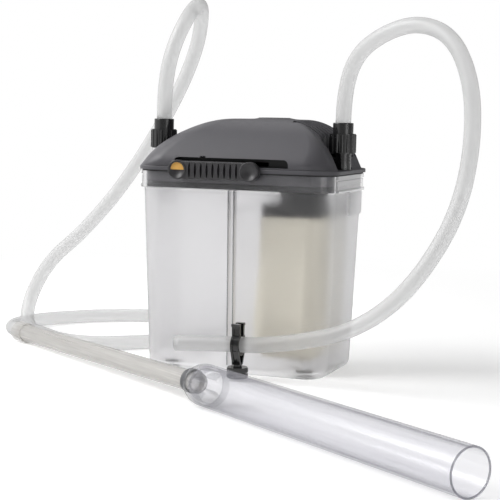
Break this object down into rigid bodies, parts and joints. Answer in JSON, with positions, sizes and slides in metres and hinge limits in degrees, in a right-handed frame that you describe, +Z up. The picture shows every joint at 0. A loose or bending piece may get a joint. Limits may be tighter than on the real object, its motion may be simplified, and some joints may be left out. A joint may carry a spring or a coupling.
{
  "type": "canister filter",
  "caption": "Small canister filter: frosted tank, domed lid with pump and filter bag, two hoses, hose clamp and gravel cleaning wand.",
  "frame": {"origin": "centre of the container's underside, on the floor", "axes": "+X to the container's right, -Y to the front with the control slide, +Z up"},
  "size_m": [0.673, 0.6864, 0.3938],
  "materials": {
    "frosted_shell": "frosted",
    "foot_rubber": "matt",
    "divider_plastic": "frosted",
    "lid_plastic": "satin",
    "seal_rubber": "matt",
    "fitting_black": "glossy",
    "indicator_orange": "glossy",
    "steel": "brushed",
    "ceramic": "smooth ceramic",
    "motor_resin": "potted resin",
    "magnet": "coated ferrite",
    "pump_plastic": "satin",
    "felt": "felted",
    "hose_clear": "clear soft PVC",
    "clamp_grey": "satin",
    "clamp_dark": "satin",
    "tube_clear": "clear",
    "wand_grey": "satin",
    "wand_dark": "satin",
    "pipe_frosted": "frosted"
  },
  "bodies": {
    "container": {"container": "frosted_shell", "rubber_feet": "foot_rubber", "partition_plate": "divider_plastic", "wand_tube": "tube_clear", "wand_reducer": "wand_grey", "wand_collar": "wand_dark", "wand_pipe": "pipe_frosted", "wand_tail": "wand_dark"},
    "lid": {"lid_base": "lid_plastic", "lid_seal": "seal_rubber", "lid_dome": "lid_plastic", "lid_screws": "steel", "cable_gland": "lid_plastic", "inlet_elbow": "fitting_black", "outlet_elbow": "fitting_black", "inlet_sleeve": "fitting_black", "outlet_sleeve": "fitting_black", "inlet_duct": "fitting_black", "outlet_duct": "fitting_black", "motor_pot": "motor_resin", "impeller_shaft": "steel", "shaft_bushes": "ceramic", "pump_housing": "pump_plastic", "pump_cover": "pump_plastic", "bag_collar": "pump_plastic", "filter_bag": "felt", "outlet_hose": "hose_clear", "inlet_hose": "hose_clear", "clamp_fork": "clamp_grey"},
    "inlet_nut": {"inlet_nut": "fitting_black"},
    "outlet_nut": {"outlet_nut": "fitting_black"},
    "impeller": {"impeller": "pump_plastic", "rotor_magnet": "magnet"},
    "slide": {"control_slide": "lid_plastic", "slide_indicator": "indicator_orange", "slide_keeper": "lid_plastic"},
    "clamp_wheel": {"clamp_wheel": "clamp_dark"}
  },
  "joints": [
    {"name": "lid_lift", "type": "slide", "parent": "container", "child": "lid", "axis": [0, 0, 1], "range_m": [0, 0.2]},
    {"name": "slide_travel", "type": "slide", "parent": "lid", "child": "slide", "axis": [1, 0, 0], "range_m": [0, 0.026]},
    {"name": "inlet_nut_turn", "type": "hinge", "parent": "lid", "child": "inlet_nut", "pos_m": [-0.1, -0.0095, 0.24], "axis": [0, 0, 1], "range_deg": [0, 90]},
    {"name": "outlet_nut_turn", "type": "hinge", "parent": "lid", "child": "outlet_nut", "pos_m": [0.1, -0.0095, 0.24], "axis": [0, 0, 1], "range_deg": [0, 90]},
    {"name": "impeller_spin", "type": "hinge", "parent": "lid", "child": "impeller", "pos_m": [0.056, 0.004, 0.2], "axis": [0, 0, 1], "continuous": true},
    {"name": "clamp_wheel_turn", "type": "hinge", "parent": "lid", "child": "clamp_wheel", "pos_m": [0.018, -0.085, 0.008], "axis": [0, 0, 1], "range_deg": [0, 180]}
  ]
}
